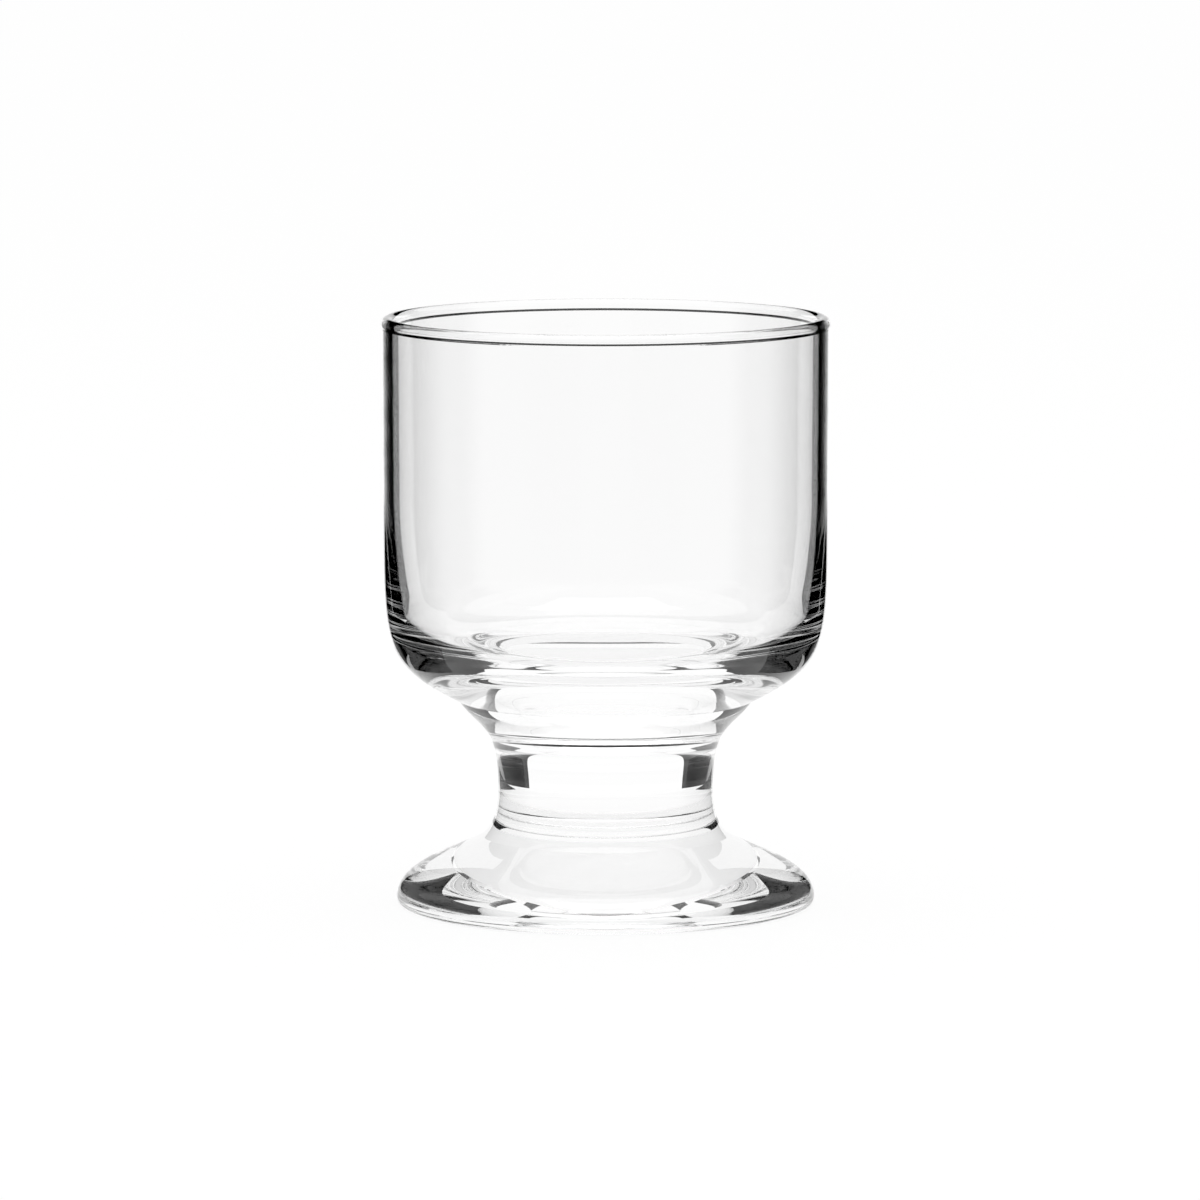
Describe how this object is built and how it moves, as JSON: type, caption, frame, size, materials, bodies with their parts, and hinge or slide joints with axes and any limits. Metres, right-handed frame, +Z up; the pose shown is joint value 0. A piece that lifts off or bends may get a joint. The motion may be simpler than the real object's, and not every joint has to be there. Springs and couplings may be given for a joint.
{
  "type": "wine tasting glass",
  "caption": "Short-stemmed clear wine tasting glass with a straight-sided bowl, a rounded lip, a thick waisted stem and a domed round foot.",
  "frame": {"origin": "centre of the foot, on the surface that the glass stands on", "axes": "+Z up along the axis that all three pieces are turned round"},
  "size_m": [0.062, 0.062, 0.0817],
  "materials": {
    "clear_glass": "fire-polished, clear and colourless"
  },
  "bodies": {
    "root": {"foot": "clear_glass", "stem": "clear_glass", "bowl": "clear_glass"}
  },
  "joints": []
}
